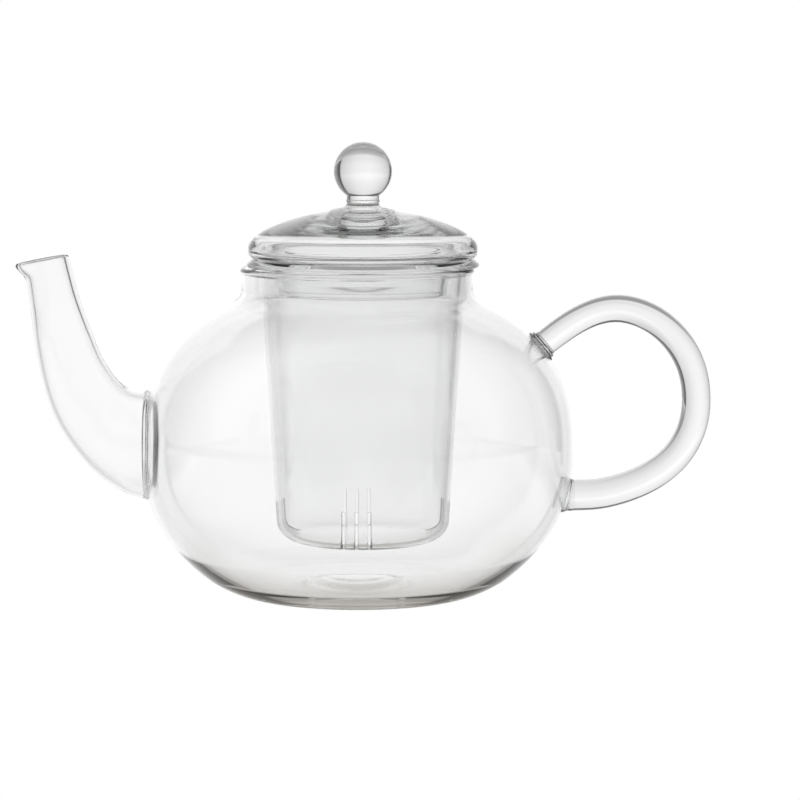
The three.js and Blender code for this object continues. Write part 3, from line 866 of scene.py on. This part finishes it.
def sweep_light(tree, direction):
    """The light that comes from a direction in the camera's own axes, far from the object, with the
    direction's elevation and the share of the sweep at its heading."""
    split = node(tree, "ShaderNodeSeparateXYZ")
    tree.links.new(direction, split.inputs["Vector"])
    x, y, z = split.outputs["X"], split.outputs["Y"], split.outputs["Z"]
    heading = math_node(tree, "DEGREES", math_node(tree, "ARCTAN2", x, z))
    flat = math_node(tree, "ADD", math_node(tree, "MULTIPLY", x, x), math_node(tree, "MULTIPLY", z, z))
    rise = math_node(tree, "DEGREES", math_node(tree, "ARCTAN2", y, math_node(tree, "SQRT", flat)))
    sweep = ramp(tree, rise, SWEEP_LEVELS, ELEVATIONS)
    room = ramp(tree, heading, ROOM_LEVELS, HEADINGS)
    sides = ramp(tree, heading, SWEEP_SIDES, HEADINGS)
    top = ramp(tree, rise, SWEEP_TOP, ELEVATIONS)
    window = math_node(tree, "MULTIPLY", sides, top)
    return mixed(tree, window, room, sweep), rise, sides


def painted_table_shade(tree, depth, across):
    """The table's painted light and shade at a place on it: grey where it is less lit and where the
    pot's shadow falls, and the dark room beyond its sides.
    """
    middle = ramp(tree, depth, TABLE_PAINTED_SHADE, DEPTHS)
    return mixed(tree, ramp(tree, across, TABLE_SIDES, WIDTHS), BEYOND_TABLE, middle)


def table_share(tree, depth, rise, sides):
    """How much of the table a ray sees, rather than the sweep behind it."""
    steepest = between(tree, depth, *STEEP_NEAR)
    flattest = math_node(tree, "SUBTRACT", steepest, between(tree, depth, *STEEP_FAR))
    fall = math_node(tree, "MULTIPLY", rise, -1.0)
    steep = between(tree, math_node(tree, "SUBTRACT", fall, flattest), STEEP_FADE, (0, 1))
    beside = math_node(tree, "LESS_THAN", sides, OUTSIDE_SWEEP)
    near = ramp(tree, depth, TABLE_END, DEPTHS)
    return math_node(tree, "MULTIPLY", near, math_node(tree, "MAXIMUM", steep, beside))


def floor_material():
    material = bpy.data.materials.new("pale_floor")
    material.use_nodes = True
    tree = material.node_tree
    link = tree.links.new
    tree.nodes.clear()
    geometry = node(tree, "ShaderNodeNewGeometry")
    ahead = node(tree, "ShaderNodeVectorMath", operation="SCALE", Scale=-1.0)
    link(geometry.outputs["Incoming"], ahead.inputs[0])
    to_camera = node(tree, "ShaderNodeVectorTransform", vector_type="VECTOR", convert_from="WORLD",
                     convert_to="CAMERA")
    link(ahead.outputs["Vector"], to_camera.inputs["Vector"])
    light, rise, sides = sweep_light(tree, to_camera.outputs["Vector"])
    place = node(tree, "ShaderNodeSeparateXYZ")
    link(geometry.outputs["Position"], place.inputs["Vector"])
    depth = math_node(tree, "DIVIDE", place.outputs["Y"], MM)
    across = math_node(tree, "DIVIDE", place.outputs["X"], MM)
    table = painted_table_shade(tree, depth, across)
    set_light = mixed(tree, table_share(tree, depth, rise, sides), light, table)
    # painted contact shadow under the front of the base
    front = mixed(tree, ramp(tree, across, FRONT_SIDES, WIDTHS), WHITE,
                  ramp(tree, depth, FRONT_SHADE, DEPTHS))
    gathered = mixed(tree, 1.0, set_light, front, "MULTIPLY")
    path = node(tree, "ShaderNodeLightPath")
    glow = node(tree, "ShaderNodeEmission")
    link(mixed(tree, path.outputs["Is Camera Ray"], gathered, WHITE), glow.inputs["Color"])
    out = node(tree, "ShaderNodeOutputMaterial")
    link(glow.outputs["Emission"], out.inputs["Surface"])
    return material


def studio_floor():
    mesh = bpy.data.meshes.new("floor")
    half, z = FLOOR_HALF * MM, FLOOR_Z * MM
    corners = [(-half, -half, z), (half, -half, z), (half, half, z), (-half, half, z)]
    mesh.from_pydata(corners, [], [(0, 1, 2, 3)])
    mesh.materials.append(floor_material())
    floor = bpy.data.objects.new("floor", mesh)
    bpy.context.scene.collection.objects.link(floor)


def studio_world():
    world = bpy.data.worlds.new("studio")
    bpy.context.scene.world = world
    world.use_nodes = True
    tree = world.node_tree
    link = tree.links.new
    tree.nodes.clear()
    place = node(tree, "ShaderNodeTexCoord")
    light, _, _ = sweep_light(tree, place.outputs["Camera"])
    path = node(tree, "ShaderNodeLightPath")
    back = node(tree, "ShaderNodeBackground")
    link(mixed(tree, path.outputs["Is Camera Ray"], light, WHITE), back.inputs["Color"])
    out = node(tree, "ShaderNodeOutputWorld")
    link(back.outputs["Background"], out.inputs["Surface"])


def camera():
    """A long lens at about 1.1 m, a little above the lid."""
    data = bpy.data.cameras.new("camera")
    obj = bpy.data.objects.new("camera", data)
    bpy.context.scene.collection.objects.link(obj)
    eye, aim = Vector(CAMERA_EYE) * MM, Vector(CAMERA_AIM) * MM
    obj.location = eye
    obj.rotation_euler = (aim - eye).to_track_quat("-Z", "Y").to_euler()
    data.sensor_width = 36
    data.lens = CAMERA_LENS
    data.shift_x, data.shift_y = CAMERA_SHIFT
    data.clip_start, data.clip_end = 0.01, 50
    bpy.context.scene.camera = obj


def render_settings():
    """Enough bounces for light to pass through all the walls of glass, and plain colours."""
    scene = bpy.context.scene
    scene.view_settings.view_transform = "Standard"
    scene.view_settings.look = "None"
    scene.cycles.max_bounces = 40
    scene.cycles.transmission_bounces = 40
    scene.cycles.glossy_bounces = 24
    scene.cycles.caustics_reflective = True
    scene.cycles.caustics_refractive = True
    scene.cycles.blur_glossy = 0.0
    scene.cycles.sample_clamp_indirect = 4.0
    scene.cycles.seed = 7


# ------------------------------------------------------------------ the teapot

bowl_glass = glass("bowl_glass", (18, 18, 30), 0.02)
rod_glass = glass("rod_glass", (60, 60, 60), 0.01, depth=1.6)
joint_glass = glass("joint_glass", (30, 60, 60), 0.02)
weld_glass = glass("weld_glass", (200, 200, 300), 0.06, depth=3.0)
infuser_glass = glass("infuser_glass", (22, 22, 16), 0.03, depth=1.3)
lid_glass = glass("lid_glass", (30, 30, 60), 0.02)

finish_piece(bowl(), "pot", bowl_glass, ["bowl"])
finish_piece(spout(), "pot", bowl_glass, ["spout"], sharp=50)
finish_piece(spout_weld(), "pot", joint_glass, ["spout_weld"], sharp=50)
finish_piece(handle(), "pot", rod_glass, ["handle"], sharp=50)
upper_weld = weld_pad("handle_upper_weld_glass", HANDLE_START, UPPER_WELD_OUT, UPPER_WELD_RADIUS,
                      HANDLE_STATIONS[0][2], ridges=2.5, ridge_height=0.3)
finish_piece(upper_weld, "pot", weld_glass, ["handle_upper_weld"], sharp=50)
lower_weld = weld_pad("handle_lower_weld_glass", HANDLE_END, LOWER_WELD_OUT, LOWER_WELD_RADIUS,
                      HANDLE_STATIONS[-1][2], ridges=1.5, ridge_height=0.15)
finish_piece(lower_weld, "pot", weld_glass, ["handle_lower_weld"], sharp=50)
finish_piece(infuser(), "infuser", infuser_glass, ["infuser"])
finish_piece(lid(), "lid", lid_glass, ["lid_dome", "lid_collar", "lid_knob"])

studio_floor()
studio_world()
camera()
render_settings()
